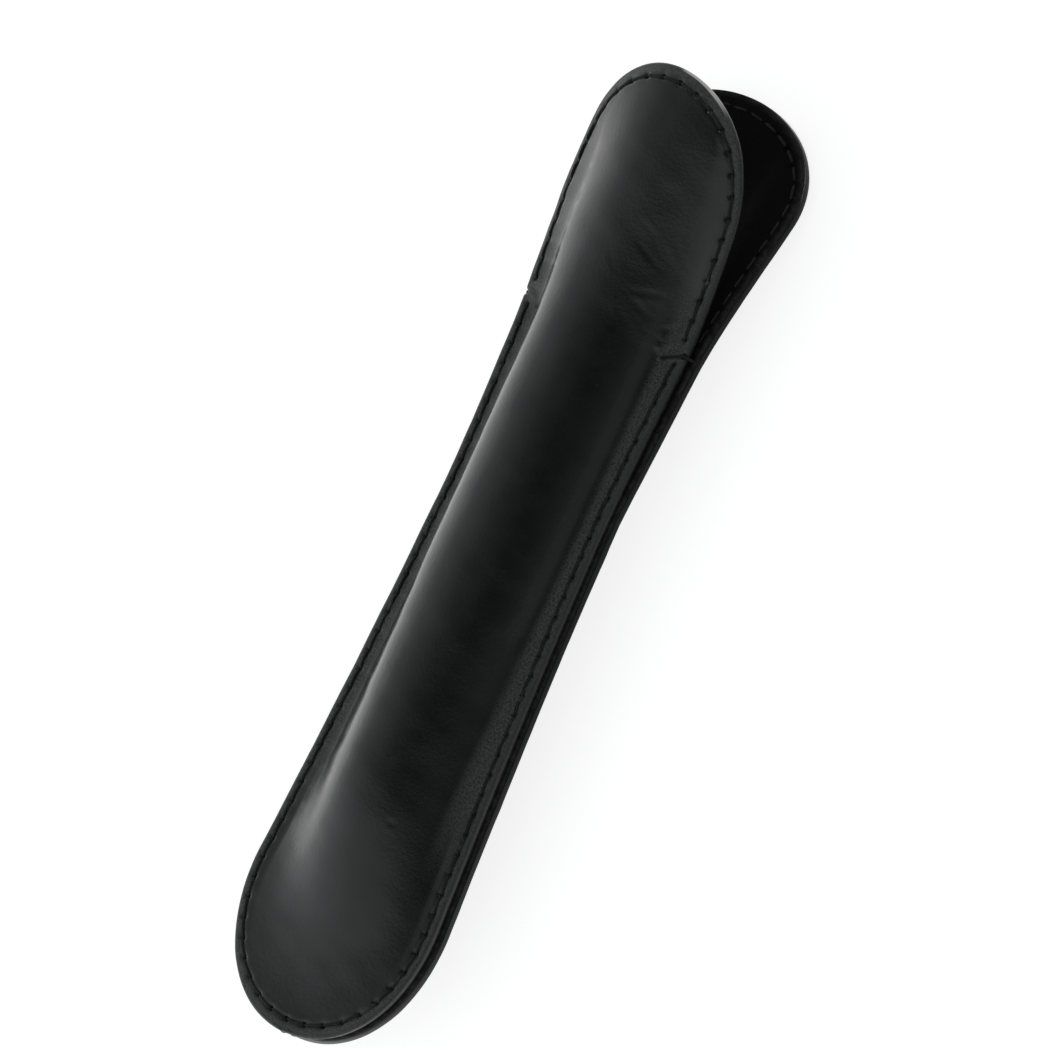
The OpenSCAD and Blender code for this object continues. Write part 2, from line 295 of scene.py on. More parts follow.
def resample(line, step):
    """A polyline's points at even lengths, both ends kept."""
    seg = np.linalg.norm(np.diff(line, axis=0), axis=1)
    marks = np.concatenate([[0], np.cumsum(seg)])
    at = np.linspace(0, marks[-1], max(2, int(round(marks[-1] / step)) + 1))
    return np.stack([np.interp(at, marks, line[:, k]) for k in range(line.shape[1])], 1)


def half_outline(leaf, step):
    """Right half of the outline in plan, from the closed end's middle to the lip's tip."""
    t = np.linspace(0, math.pi / 2, END_POINTS)
    y = np.concatenate([
        TOE_LEN * (1 - np.cos(t)),
        np.linspace(TOE_LEN, leaf.tip_y - leaf.tip_len, SIDE_POINTS)[1:-1],
        leaf.tip_y - leaf.tip_len * (1 - np.sin(t)),
    ])
    y = np.clip(y, 0, leaf.tip_y)
    x = outline_x(y, leaf)
    x[0] = x[-1] = 0
    return resample(np.stack([x, y], 1), step)


def plan_normals(line):
    """Unit normals of the right half outline, pointing out of the leaf."""
    full = np.concatenate([line[:0:-1] * [-1, 1], line])
    tan = np.gradient(full, axis=0)[len(line) - 1:]
    tan[0], tan[-1] = [1, 0], [-1, 0]
    n = np.stack([tan[:, 1], -tan[:, 0]], 1)
    return n / np.linalg.norm(n, axis=1)[:, None]


def stitch_margin(normals):
    """Distance of the stitches from the edge: wider at the two rounded ends."""
    return EDGE_MARGIN + (END_MARGIN - EDGE_MARGIN) * normals[:, 1] ** 2


def stitch_path(leaf, y_from, y_to):
    """Right half of a stitch line in plan, between two places along the sleeve."""
    line = half_outline(leaf, OUTLINE_STEP)
    n = plan_normals(line)
    path = line - n * stitch_margin(n)[:, None]
    path[0, 0] = path[-1, 0] = 0
    return path[(path[:, 1] >= y_from) & (path[:, 1] <= y_to)]


def stitch_holes(half, through_tip):
    """Holes at an even pitch along the whole line, mirrored about the middle."""
    inner = half[::-1] if through_tip else half
    full = np.concatenate([inner[:0:-1] * [-1, 1], inner])
    length = np.linalg.norm(np.diff(full, axis=0), axis=1).sum()
    count = int(round(length / STITCH_PITCH))
    return resample(full, length / count)


SEAM_TOP = BODY_LEN - SEAM_FREE + LAST_HOLE_REACH
LIP_STITCH_FROM = BODY_LEN + THROAT_FREE
SEAM_HOLES = stitch_holes(stitch_path(FRONT, 0, SEAM_TOP), False)
LIP_HOLES = {
    leaf.name: stitch_holes(stitch_path(leaf, LIP_STITCH_FROM, leaf.tip_y), True)
    for leaf in (FRONT, BACK)
}

# Ends of the slanting stitch over the edge at the throat
TACK_TOP = BODY_LEN - TACK_DROP
TACK_OUT = float(half_w(np.array([TACK_TOP]), FRONT)[0])
TACK_IN = TACK_OUT - EDGE_MARGIN - TACK_REACH


# Relief of the leather

# A row of stitches: depth or height, and width, of what it presses into the leather
ROW_SINK = 0.035
TACK_SINK = 0.08
GROOVE_W = 0.30
DENT_DEPTH, DENT_W = 0.50, 0.30
SWELL_H, SWELL_AT, SWELL_W = 0.02, 0.65, 0.35
PULL_DEPTH, PULL_W = 0.05, 0.8
ROW_REACH = 3
HOLE_MARK_R = 0.27
ROW_STEP = 0.2
CHUNK = 4000

# Soft waves of the leather: height, seed and size
WAVES = ((0.035, 11, 14), (0.014, 21, 4.5))
WAVE_COUNT = 9
WAVE_SPREAD = (0.7, 1.6)
WAVE_PHASE = 6.28
# The back is pressed flat along its middle, where it lies on the table
REST_CALM = 0.95
REST_HALF_W = 3.4

# Where the leather is matt with a paler speckled haze: partly unpolished leather, partly painted
# sheen on the flange beside the tube and on the margin
DULL_SHEEN_MARGIN = (0.8, 1.7)
DULL_SHEEN_BESIDE = (FOOT_X - 1.9, FOOT_X - 0.4)
DULL_SHEEN_UP = (24, 42)
DULL_SHEEN_DOWN = (PART_Y - 2, PART_Y + 16)

# Each fold has a raised lip beside it
CREASE_LIP = 0.5
CREASE_LIP_AT = 1.7
# Folds near the throat, on the right of the front lip and at the toe, as a, b, width
# and depth
FRONT_CREASES = [
    ((12.3, 103.2), (8.4, 100.9), 0.42, 0.10),
    ((11.4, 105.9), (9.0, 104.2), 0.38, 0.05),
    ((10.4, 102.4), (8.0, 103.6), 0.35, 0.06),
    ((-12.1, 103.2), (-9.6, 101.8), 0.5, 0.10),
    ((-12.2, 105.2), (-10.0, 104.6), 0.5, 0.06),
    ((9.4, 108.8), (4.6, 106.9), 0.45, 0.030),
    ((7.6, 111.2), (3.8, 113.6), 0.40, 0.025),
    ((10.2, 112.4), (7.6, 115.8), 0.40, 0.025),
    ((3.2, 108.0), (0.6, 111.6), 0.40, 0.022),
    ((6.2, 114.6), (3.0, 116.4), 0.35, 0.020),
    ((8.6, 104.8), (5.4, 106.6), 0.40, 0.030),
    ((6.6, 102.6), (4.8, 104.9), 0.38, 0.020),
    ((4.9, 31.0), (5.6, 31.2), 0.45, 0.06),
]
BACK_CREASES = [
    ((12.2, 103.4), (8.9, 102.4), 0.5, 0.10),
    ((-12.2, 103.4), (-8.9, 102.4), 0.5, 0.10),
    ((5.0, 104.5), (-4.5, 104.2), 0.9, 0.06),
    ((6.0, 107.5), (-2.5, 108.3), 0.8, 0.04),
]


def waves(x, y, seed, size):
    """Soft irregular waves of about unit height, with crests size millimetres apart."""
    rng = np.random.default_rng(seed)
    out = np.zeros_like(x)
    for _ in range(WAVE_COUNT):
        a = rng.uniform(0, 2 * math.pi)
        k = 2 * math.pi / (size * rng.uniform(*WAVE_SPREAD))
        phase = rng.uniform(0, WAVE_PHASE)
        out += np.sin(k * (x * math.cos(a) + y * math.sin(a)) + phase)
    return out / math.sqrt(WAVE_COUNT)


def nearest(points, line):
    """Distance of each point to the nearest vertex of a line."""
    best = np.full(len(points), 1e9)
    for start in range(0, len(points), CHUNK):
        part = points[start:start + CHUNK]
        best[start:start + CHUNK] = np.linalg.norm(part[:, None] - line[None], axis=2).min(1)
    return best


def stitch_relief(x, y, holes, sink=ROW_SINK):
    """Groove under a row of stitches, a dent at each hole and a slight swell between."""
    flat = np.stack([x.ravel(), y.ravel()], 1)
    fine = resample(holes, ROW_STEP)
    out = np.zeros(len(flat))
    near = (flat[:, 1] > holes[:, 1].min() - ROW_REACH)
    near &= (flat[:, 1] < holes[:, 1].max() + ROW_REACH)
    line_d = nearest(flat[near], fine)
    hole_d = nearest(flat[near], holes)
    groove = -sink * np.exp(-(line_d / GROOVE_W) ** 2)
    dent = -DENT_DEPTH * np.exp(-(hole_d / DENT_W) ** 2)
    swell = SWELL_H * np.exp(-((line_d - SWELL_AT) / SWELL_W) ** 2)
    pull = -PULL_DEPTH * np.exp(-(hole_d / PULL_W) ** 2)
    out[near] = groove + dent + swell + pull
    return out.reshape(x.shape)


def hole_shade_mark(x, y, leaf):
    """One in the stitch holes, falling to nought around them. It paints shade into the holes."""
    holes = np.concatenate([SEAM_HOLES, LIP_HOLES[leaf.name]])
    d = nearest(np.stack([x.ravel(), y.ravel()], 1), holes)
    return np.exp(-(d / HOLE_MARK_R) ** 4).reshape(x.shape)


def dull_sheen_mark(x, y, edge_dist):
    """One where the leather is matt with a paler haze: the flange and the margin outside the
    stitches. The haze is partly unpolished leather and partly painted sheen."""
    margin = 1 - smooth(*DULL_SHEEN_MARGIN, edge_dist)
    beside_tube = smooth(*DULL_SHEEN_BESIDE, np.abs(x))
    along = smooth(*DULL_SHEEN_UP, y) * (1 - smooth(*DULL_SHEEN_DOWN, y))
    return np.maximum(margin, beside_tube * along)


def crease(x, y, a, b, width, depth):
    """A fold pressed into the leather from a to b, deepest in the middle."""
    ab = np.array(b, float) - np.array(a, float)
    t = np.clip(((x - a[0]) * ab[0] + (y - a[1]) * ab[1]) / (ab @ ab), 0, 1)
    q = np.hypot(x - a[0] - t * ab[0], y - a[1] - t * ab[1]) / width
    fade = 1 - (2 * t - 1) ** 2
    fold = np.exp(-q ** 2) - CREASE_LIP * np.exp(-(q - CREASE_LIP_AT) ** 2)
    return -depth * fade * fold


def relief(x, y, leaf):
    """Height of the leather's own relief over the plain moulded shape."""
    out = stitch_relief(x, y, SEAM_HOLES) + stitch_relief(x, y, LIP_HOLES[leaf.name])
    for side in (-1, 1):
        ends = np.array([[side * TACK_IN, TACK_TOP - TACK_SLANT], [side * TACK_OUT, TACK_TOP]])
        out += stitch_relief(x, y, ends, TACK_SINK)
    soft = sum(height * waves(x, y, seed + leaf.sign, size) for height, seed, size in WAVES)
    if leaf is BACK:
        soft *= 1 - REST_CALM * np.exp(-(x / REST_HALF_W) ** 4)
    for c in FRONT_CREASES if leaf is FRONT else BACK_CREASES:
        out += crease(x, y, *c)
    return out + soft


# Meshes

# Steps round the cut edge, and the columns over which its direction is taken
RIM_STEPS = 4
RIM_COLS = 3
RIM_FADE = 1.0
# Width of the rubbed edge. The back leather's cut edge gets almost none of the paler edge tints,
# as painted shade where it lies in shadow.
WEAR_W = 0.7
BACK_RIM_SHADED_WEAR = 0.08
# Paler haze round the rims: partly real, partly painted sheen
RIM_DULL_SHEEN = 0.6
# The stretch at the right of a lip's end where a pale highlight is painted on the rim, across and
# back from the tip
RIM_HIGHLIGHT_FROM = (0.4, 2.2)
RIM_HIGHLIGHT_TO = (6.5, 9.5)
RIM_HIGHLIGHT_BACK = (12, 8)
MAP_PER_MM = 0.1
MERGE_DIST = 2e-7
FLAT_DIST = 1e-8

# Thread: plies, their radius, the radius and pitch of their lay, sides and step
PLIES = 3
PLY_R = 0.13
LAY_R = 0.105
LAY_PITCH = 1.3
PLY_SIDES = 6
THREAD_STEP = 0.08
# A direction that no thread runs along
SIDE_REF = (0.13, 0.21, 1.0)


def link(name, data):
    """Puts a new object into the scene."""
    obj = bpy.data.objects.new(name, data)
    bpy.context.scene.collection.objects.link(obj)
    return obj


def grid(leaf, step, bands, middle):
    """Plan places of a leaf's grid. Rows follow the outline, so that the columns near
    the edge run along the stitches."""
    line = half_outline(leaf, step)
    n = plan_normals(line)
    cols_x, cols_y = [], []
    for m in bands:
        p = line - n * m
        cols_x.append(np.maximum(0, p[:, 0]))
        cols_y.append(p[:, 1])
    edge_x, edge_y = np.stack(cols_x, 1), np.stack(cols_y, 1)
    deep_x, deep_y = edge_x[:, -1:], edge_y[:, -1:]
    t = np.linspace(-1, 1, middle + 2)[None, 1:-1]
    x = np.concatenate([-edge_x, deep_x * t, edge_x[:, ::-1]], 1)
    y = np.concatenate([edge_y, np.repeat(deep_y, middle, 1), edge_y[:, ::-1]], 1)
    return x, y


def grid_normals(p):
    """Unit normals of a grid of points. Both end rows are single points, so each takes
    the mean of the row beside it."""
    a, b = np.gradient(p, axis=0), np.gradient(p, axis=1)
    n = np.cross(b, a)
    size = np.linalg.norm(n, axis=2)
    good = size > 1e-5
    n[good] /= size[good][:, None]
    for row, next_row in ((0, 1), (-1, -2)):
        whole = n[next_row][good[next_row]].mean(0)
        n[row] = whole / np.linalg.norm(whole)
    rest = ~good
    rest[0] = rest[-1] = False
    n[rest] = np.array([0, 0, 1.0])
    return n


def edge_profile(depth0, depth1, r0, r1):
    """Rounded cut edge of a layer, as [outward, depth] from the outer face inwards."""
    out = []
    for k in range(1, RIM_STEPS + 1):
        a = math.pi / 2 * k / RIM_STEPS
        out.append([r0 * math.sin(a) - r0, depth0 + r0 * (1 - math.cos(a))])
    for k in range(RIM_STEPS):
        a = math.pi / 2 * k / RIM_STEPS
        out.append([r1 * math.cos(a) - r1, depth1 - r1 + r1 * math.sin(a)])
    return np.array(out)


def fill_mesh(name, verts, quads, uv, values):
    """A mesh from arrays, with a map and named values at its points, cleaned of doubles."""
    me = bpy.data.meshes.new(name)
    me.vertices.add(len(verts))
    me.vertices.foreach_set("co", verts.ravel())
    me.loops.add(quads.size)
    me.loops.foreach_set("vertex_index", quads.ravel())
    me.polygons.add(len(quads))
    me.polygons.foreach_set("loop_start", np.arange(0, quads.size, 4))
    me.update(calc_edges=True)
    layer = me.uv_layers.new(name="UVMap")
    layer.data.foreach_set("uv", uv[quads.ravel()].ravel())
    for label, value in values.items():
        att = me.attributes.new(label, "FLOAT", "POINT")
        att.data.foreach_set("value", value.ravel().astype(np.float32))
    bm = bmesh.new()
    bm.from_mesh(me)
    bmesh.ops.remove_doubles(bm, verts=bm.verts, dist=MERGE_DIST)
    bmesh.ops.dissolve_degenerate(bm, edges=bm.edges, dist=FLAT_DIST)
    bm.normal_update()
    bm.to_mesh(me)
    bm.free()
    me.shade_smooth()
    return me


def edge_direction(base, n, edge, inner):
    """Outward direction along the surface at an edge column, taken from an inner one."""
    v = base[:, edge] - base[:, inner]
    v -= n[:, edge] * (v * n[:, edge]).sum(1)[:, None]
    size = np.linalg.norm(v, axis=1)
    return v / np.maximum(size, 1e-9)[:, None]


def rim_points(base, n, up, edge, direction, rim, inset):
    """Points round a layer's cut edge. Only its outer rounding takes the relief, up."""
    lift = up[:, edge, None] * (np.arange(len(rim)) < RIM_STEPS)
    sideways = direction[:, None] * (rim[:, 0] - inset)[None, :, None]
    return base[:, edge, None] + sideways - n[:, edge, None] * (rim[:, 1] - lift)[..., None]


def shell_quads(rows, cols, flipped):
    """Faces between the neighbouring rows of a shell, whose columns close to a loop."""
    idx = np.arange(rows * cols).reshape(rows, cols)
    nxt = np.roll(idx, -1, axis=1)
    quads = np.stack([idx[:-1], nxt[:-1], nxt[1:], idx[1:]], 2).reshape(-1, 4)
    return quads[:, ::-1] if flipped else quads


def shell_map(loop, middle_col):
    """Map of a shell: v runs along the sleeve, and u is the length across from the middle
    of the outer face, so that the grain isn't stretched."""
    seg = np.linalg.norm(np.diff(loop, axis=1, append=loop[:, :1]), axis=2)
    u = np.concatenate([np.zeros((len(loop), 1)), np.cumsum(seg, 1)[:, :-1]], 1)
    u -= u[:, middle_col][:, None]
    return np.stack([u.ravel(), loop[..., 1].ravel()], 1) * MAP_PER_MM


def rim_highlight_mark(loop, leaf, face_cols, rim_cols):
    """One where a pale highlight is painted on the right of the lip's end, on the outer half of
    the rim.
    """
    along = smooth(*RIM_HIGHLIGHT_FROM, loop[..., 0]) * (1 - smooth(*RIM_HIGHLIGHT_TO, loop[..., 0]))
    near_tip = smooth(leaf.tip_y - RIM_HIGHLIGHT_BACK[0], leaf.tip_y - RIM_HIGHLIGHT_BACK[1], loop[..., 1])
    on_rim = np.zeros(loop.shape[1])
    on_rim[face_cols:face_cols + rim_cols // 2 + 1] = 1
    return along * near_tip * on_rim


def shell_values(x, y, loop, leaf, bands, rim_cols, rim_wear_and_shade):
    """Wear, painted rim highlight, a paler matt haze that is partly painted sheen, and painted
    shade at the stitch holes, at every point of a shell.
    """
    rows, face_cols = x.shape

    def around(face, rim_value):
        """The same values on both faces, and one value round both edges."""
        rim_part = np.full((rows, rim_cols), rim_value)
        return np.concatenate([face, rim_part, face[:, ::-1], rim_part], 1)

    middle = np.full(face_cols - 2 * len(bands), bands[-1])
    edge_dist = np.tile(np.concatenate([bands, middle, bands[::-1]]), (rows, 1))
    wear = np.exp(-(edge_dist / WEAR_W) ** 2)
    return {
        "worn": around(wear * rim_wear_and_shade, rim_wear_and_shade),
        "rim_highlight": rim_highlight_mark(loop, leaf, face_cols, rim_cols),
        "dull_and_sheen": around(dull_sheen_mark(x, y, edge_dist), RIM_DULL_SHEEN * rim_wear_and_shade),
        "hole": around(hole_shade_mark(x, y, leaf), 0.0),
    }


def layer_mesh(name, leaf, depth0, depth1, r0, r1, step, bands, middle, inset=0.0,
               relief_share=1.0):
    """One layer of a leaf as a closed shell, from depth0 to depth1 under the outer face,
    with its edges rounded by r0 and r1 and set back by inset."""
    x, y = grid(leaf, step, bands, middle)
    z = soften(face_z(x, y, leaf), y, len(bands))
    base = np.stack([spread_x(x, y, leaf), y, z], 2)
    n = grid_normals(base)
    up = relief_share * relief(x, y, leaf)
    outer = base - n * (depth0 - up)[..., None]
    inner = base - n * depth1
    left = edge_direction(base, n, 0, RIM_COLS)
    right = edge_direction(base, n, -1, -1 - RIM_COLS)

    # The faces stop short of the edge by the rounding, so the rim comes back out to it
    fade = np.clip(1 - bands / RIM_FADE, 0, 1)
    for surf, r in ((outer, r0), (inner, r1)):
        pull = (r + inset) * fade ** 2
        for k in range(len(bands)):
            surf[:, k] -= left * pull[k]
            surf[:, -1 - k] -= right * pull[k]
    rim = edge_profile(depth0, depth1, r0, r1)
    right_rim = rim_points(base, n, up, -1, right, rim, inset)
    left_rim = rim_points(base, n, up, 0, left, rim, inset)
    loop = np.concatenate([outer, right_rim, inner[:, ::-1], left_rim[:, ::-1]], 1)
    loop[..., 2] *= leaf.sign

    quads = shell_quads(*loop.shape[:2], flipped=leaf.sign < 0)
    uv = shell_map(loop, outer.shape[1] // 2)
    # The back leather's rim is kept dark by taking off most of its pale edge tints: painted shade
    rim_wear_and_shade = 1.0 if leaf is FRONT or depth0 > 0 else BACK_RIM_SHADED_WEAR
    values = shell_values(x, y, loop, leaf, bands, len(rim), rim_wear_and_shade)
    return link(name, fill_mesh(name, to_metres(loop).reshape(-1, 3), quads, uv, values))


def tube_mesh(name, paths):
    """Twisted thread along each path of points, in millimetres, as one mesh."""
    verts, faces = [], []
    for path in paths:
        path = resample(np.array(path, float), THREAD_STEP)
        tan = np.gradient(path, axis=0)
        tan /= np.linalg.norm(tan, axis=1)[:, None]
        side = np.cross(tan, np.array(SIDE_REF))
        side /= np.maximum(np.linalg.norm(side, axis=1), 1e-6)[:, None]
        up = np.cross(side, tan)
        length = np.concatenate([[0], np.cumsum(np.linalg.norm(np.diff(path, axis=0), axis=1))])
        last = len(path) - 1
        for ply in range(PLIES):
            a = 2 * math.pi * (length / LAY_PITCH + ply / PLIES)
            mid = path + LAY_R * (np.cos(a)[:, None] * side + np.sin(a)[:, None] * up)
            base = len(verts)
            for k in range(len(path)):
                for s in range(PLY_SIDES):
                    b = 2 * math.pi * s / PLY_SIDES
                    verts.append(mid[k] + PLY_R * (math.cos(b) * side[k] + math.sin(b) * up[k]))
            for k in range(last):
                low, high = base + k * PLY_SIDES, base + (k + 1) * PLY_SIDES
                for s in range(PLY_SIDES):
                    t = (s + 1) % PLY_SIDES
                    faces.append((low + s, low + t, high + t, high + s))
            faces.append(tuple(base + s for s in range(PLY_SIDES))[::-1])
            faces.append(tuple(base + last * PLY_SIDES + s for s in range(PLY_SIDES)))
    me = bpy.data.meshes.new(name)
    me.from_pydata(to_metres(np.array(verts)).tolist(), [], faces)
    me.update()
    me.shade_smooth()
    return link(name, me)


# A stitch: depth of its ends in the holes, height of its pull, and how much each differs
HOLE_DEPTH = {False: 0.62, True: 0.74}
PULL_HEIGHT = 0.60
PULL_SLACK = 0.06
PULL_SLANT = 0.10
PULL_ENDS = (0.03, 0.97)
PULL_POINTS = 17
PULL_POWER = 5
NORMAL_STEP = 0.05


def frame_at(holes, leaf):
    """Outer face points over plan places, and the unit normals there."""
    x, y = holes[:, 0], holes[:, 1]
    e = NORMAL_STEP
    z = face_z(x, y, leaf)
    zx = (face_z(x + e, y, leaf) - face_z(x - e, y, leaf)) / (2 * e)
    zy = (face_z(x, y + e, leaf) - face_z(x, y - e, leaf)) / (2 * e)
    n = np.stack([-zx, -zy, np.ones_like(zx)], 1)
    n /= np.linalg.norm(n, axis=1)[:, None]
    return np.stack([spread_x(x, y, leaf), y, z], 1), n


def stitches(holes, leaf, inner=False):
    """One short pull of thread from each hole to the next, with its ends in the holes."""
    p, n = frame_at(holes, leaf)
    face = -LEAF_T if inner else 0.0
    out = -1.0 if inner else 1.0
    paths = []
    for i in range(len(p) - 1):
        slack = RNG.uniform(0.0, PULL_SLACK)
        slant = RNG.uniform(-PULL_SLANT, PULL_SLANT)
        along = p[i + 1] - p[i]
        across = np.cross(along / np.linalg.norm(along), n[i])
        path = []
        for t in np.linspace(*PULL_ENDS, PULL_POINTS):
            bow = 1 - abs(2 * t - 1) ** PULL_POWER
            lift = face + out * (-HOLE_DEPTH[inner] + (PULL_HEIGHT + slack) * bow)
            m = n[i] * (1 - t) + n[i + 1] * t
            path.append(p[i] + along * t + m * lift + across * slant * (t - 0.5) * 2)
        path = np.array(path)
        path[:, 2] *= leaf.sign
        paths.append(path)
    return paths


# Materials

# Pale tint for the right of a lip's end: a painted highlight on its rim
RIM_HIGHLIGHT_TINT = (0.62, 0.60, 0.56, 1)
# Near black in the stitch holes: painted shade
HOLE_SHADE_TINT = (0.001, 0.001, 0.001, 1)


class Nodes:
    """Short calls for building the node tree of a material or a world."""

    def __init__(self, owner):
        owner.use_nodes = True
        self.tree = owner.node_tree
        self.tree.nodes.clear()

    def add(self, kind, inputs=None, **props):
        node = self.tree.nodes.new(kind)
        for key, value in props.items():
            setattr(node, key, value)
        for key, value in (inputs or {}).items():
            if isinstance(value, bpy.types.NodeSocket):
                self.tree.links.new(value, node.inputs[key])
            else:
                node.inputs[key].default_value = value
        return node

    def math(self, op, a, b=0.0, clamp=False):
        node = self.add("ShaderNodeMath", {0: a, 1: b}, operation=op, use_clamp=clamp)
        return node.outputs[0]

    def times(self, a, b):
        return self.math("MULTIPLY", a, b)

    def plus(self, a, b):
        return self.math("ADD", a, b)

    def ramp(self, value, stops):
        node = self.add("ShaderNodeValToRGB", {"Fac": value})
        while len(node.color_ramp.elements) < len(stops):
            node.color_ramp.elements.new(0.5)
        for el, (pos, color) in zip(node.color_ramp.elements, stops):
            el.position = pos
            el.color = (*color, 1)
        return node.outputs["Color"]

    def grey_ramp(self, value, stops):
        return self.ramp(value, [(at, (level,) * 3) for at, level in stops])

    def mix(self, share, a, b):
        node = self.add("ShaderNodeMix", {"Factor": share, 6: a, 7: b}, data_type="RGBA")
        return node.outputs[2]

    def remap(self, value, source, target, **props):
        node = self.add("ShaderNodeMapRange", {
            "Value": value, "From Min": source[0], "From Max": source[1],
            "To Min": target[0], "To Max": target[1]}, **props)
        return node.outputs[0]

    def noise(self, vector, scale, detail=3.0, rough=0.5):
        return self.add("ShaderNodeTexNoise", {
            "Vector": vector, "Scale": scale, "Detail": detail, "Roughness": rough}).outputs["Fac"]

    def cells(self, vector, scale):
        node = self.add("ShaderNodeTexVoronoi", {"Vector": vector, "Scale": scale})
        return node.outputs["Distance"]

    def value(self, label):
        """A value kept at the points of the mesh."""
        return self.add("ShaderNodeAttribute", attribute_name=label).outputs["Fac"]


def leather_material(name, dark, light, rough, bump, grain, gloss, edge_tint, dull_sheen_tint,
                     rim_highlight_share):
    """Black leather: fine pebbled grain, pores, mottling and paler worn edges, with painted shade
    in the stitch holes, a pale painted highlight on the right of a lip's end, and a paler speckled
    haze that is partly unpolished leather and partly painted sheen. One unit of the map is 10 mm
    on the surface."""
    mat = bpy.data.materials.new(name)
    k = Nodes(mat)
    uv = k.add("ShaderNodeUVMap", uv_map="UVMap").outputs["UV"]
    mottle = k.noise(uv, 2.2, 5, 0.6)
    fine = k.noise(uv, 55, 3, 0.55)
    pebble = k.cells(uv, grain)
    small = k.cells(uv, grain * 2.3)
    pores = k.cells(uv, 26)
    scuff = k.noise(uv, 8, 6, 0.7)
    speck = k.grey_ramp(k.noise(uv, 34, 3, 0.65), [(0.42, 0.04), (0.58, 1.0)])
    worn, rim_highlight, dull_and_sheen, hole = (k.value(label) for label in ("worn", "rim_highlight", "dull_and_sheen", "hole"))

    # Colour, from the whole skin to the worn edge, the painted highlight on the rim and the
    # painted shade in the holes
    tone = k.ramp(mottle, [(0.30, dark), (0.70, light)])
    wear = k.times(worn, k.grey_ramp(scuff, [(0.35, 0.15), (0.7, 0.9)]))
    # Paler speckled haze: partly real unpolished leather, partly painted sheen where the tube's
    # shade falls on the flange
    haze = k.times(k.times(dull_and_sheen, speck), 0.9)
    color = k.mix(haze, tone, (*dull_sheen_tint, 1))
    color = k.mix(wear, color, (*edge_tint, 1))
    color = k.mix(k.times(rim_highlight, rim_highlight_share), color, RIM_HIGHLIGHT_TINT)
    color = k.mix(hole, color, HOLE_SHADE_TINT)

    patchy = k.plus(k.times(mottle, 0.7), k.times(fine, 0.3))
    matt = k.plus(k.times(dull_and_sheen, 0.22), k.times(hole, 0.6))
    roughness = k.math("ADD", k.remap(patchy, (0.3, 0.7), rough), matt, clamp=True)

    height = k.plus(k.times(pebble, 0.6), k.times(small, 0.3))
    height = k.plus(height, k.times(fine, 0.35))
    height = k.plus(height, k.times(k.math("LESS_THAN", pores, 0.10), -0.35))
    height = k.plus(height, k.times(k.times(speck, dull_and_sheen), 3.5))
    normal = k.add("ShaderNodeBump", {"Height": height, "Strength": bump, "Distance": 0.00006})
    shader = k.add("ShaderNodeBsdfPrincipled", {
        "Base Color": color, "Roughness": roughness,
        "Normal": normal.outputs[0], "IOR": 1.5, "Specular IOR Level": gloss})
    k.add("ShaderNodeOutputMaterial", {"Surface": shader.outputs[0]})
    return mat


def thread_material(name):
    """Waxed black thread: matt, with faint fibres and a few pale spots that are painted glints."""
    mat = bpy.data.materials.new(name)
    k = Nodes(mat)
    pos = k.add("ShaderNodeTexCoord").outputs["Object"]
    fibre = k.noise(pos, 9000, 2)
    # Pale spots in the thread's colour: painted glints
    glint_spots = k.noise(pos, 380, 3, 0.6)
    tone = k.ramp(glint_spots, [(0.45, (0.008, 0.008, 0.008)), (0.62, (0.016, 0.016, 0.016)),
                        (0.80, (0.11, 0.11, 0.105))])
    normal = k.add("ShaderNodeBump", {"Height": fibre, "Strength": 0.5, "Distance": 0.00005})
    shader = k.add("ShaderNodeBsdfPrincipled", {
        "Base Color": tone, "Roughness": 0.55, "Normal": normal.outputs[0],
        "Specular IOR Level": 0.3})
    k.add("ShaderNodeOutputMaterial", {"Surface": shader.outputs[0]})
    return mat


LEATHER = leather_material(
    "smooth_black_leather", dark=(0.0050, 0.0054, 0.0057), light=(0.0090, 0.0096, 0.0098),
    rough=(0.15, 0.25), bump=0.34, grain=22, gloss=0.50, edge_tint=(0.024, 0.025, 0.024),
    dull_sheen_tint=(0.060, 0.061, 0.058), rim_highlight_share=1.0)
# The lining's colour is set darker than its own black: painted shade standing in for the shadow of
# the pen, which isn't modelled, and of the front lip
SHADED_LINING = leather_material(
    "black_lining_leather", dark=(0.0012, 0.0012, 0.0016), light=(0.0026, 0.0026, 0.0031),
    rough=(0.60, 0.75), bump=0.6, grain=34, gloss=0.07, edge_tint=(0.050, 0.051, 0.049),
    dull_sheen_tint=(0.0026, 0.0026, 0.0031), rim_highlight_share=0.0)
THREAD = thread_material("waxed_black_thread")


# The sleeve

# Faces between two layers are each set back by this, so that they don't touch
LAYER_GAP = 0.02
FRONT_ROUNDING = 0.42
BACK_ROUNDING = 0.25
LINING_ROUNDING = 0.14
INNER_ROUNDING = 0.2
LINING_INSET = 0.08
# Grids: step of the rows, distances of the outer columns from the edge, and how many
# columns lie between them. The leather's grid is fine under the stitches.
LEATHER_GRID = {
    "step": 0.26, "middle": 64,
    "bands": np.concatenate([np.arange(0, 0.6, 0.15), np.arange(0.6, 2.9, 0.22)])}
LINING_GRID = {"step": 0.45, "middle": 40, "bands": np.array([0, 0.2, 0.5, 1.0, 1.6, 2.4])}


def dress(obj, material, nodes):
    obj.data.materials.append(material)
    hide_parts(*nodes)


def bend(obj, leaf):
    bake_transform(obj)


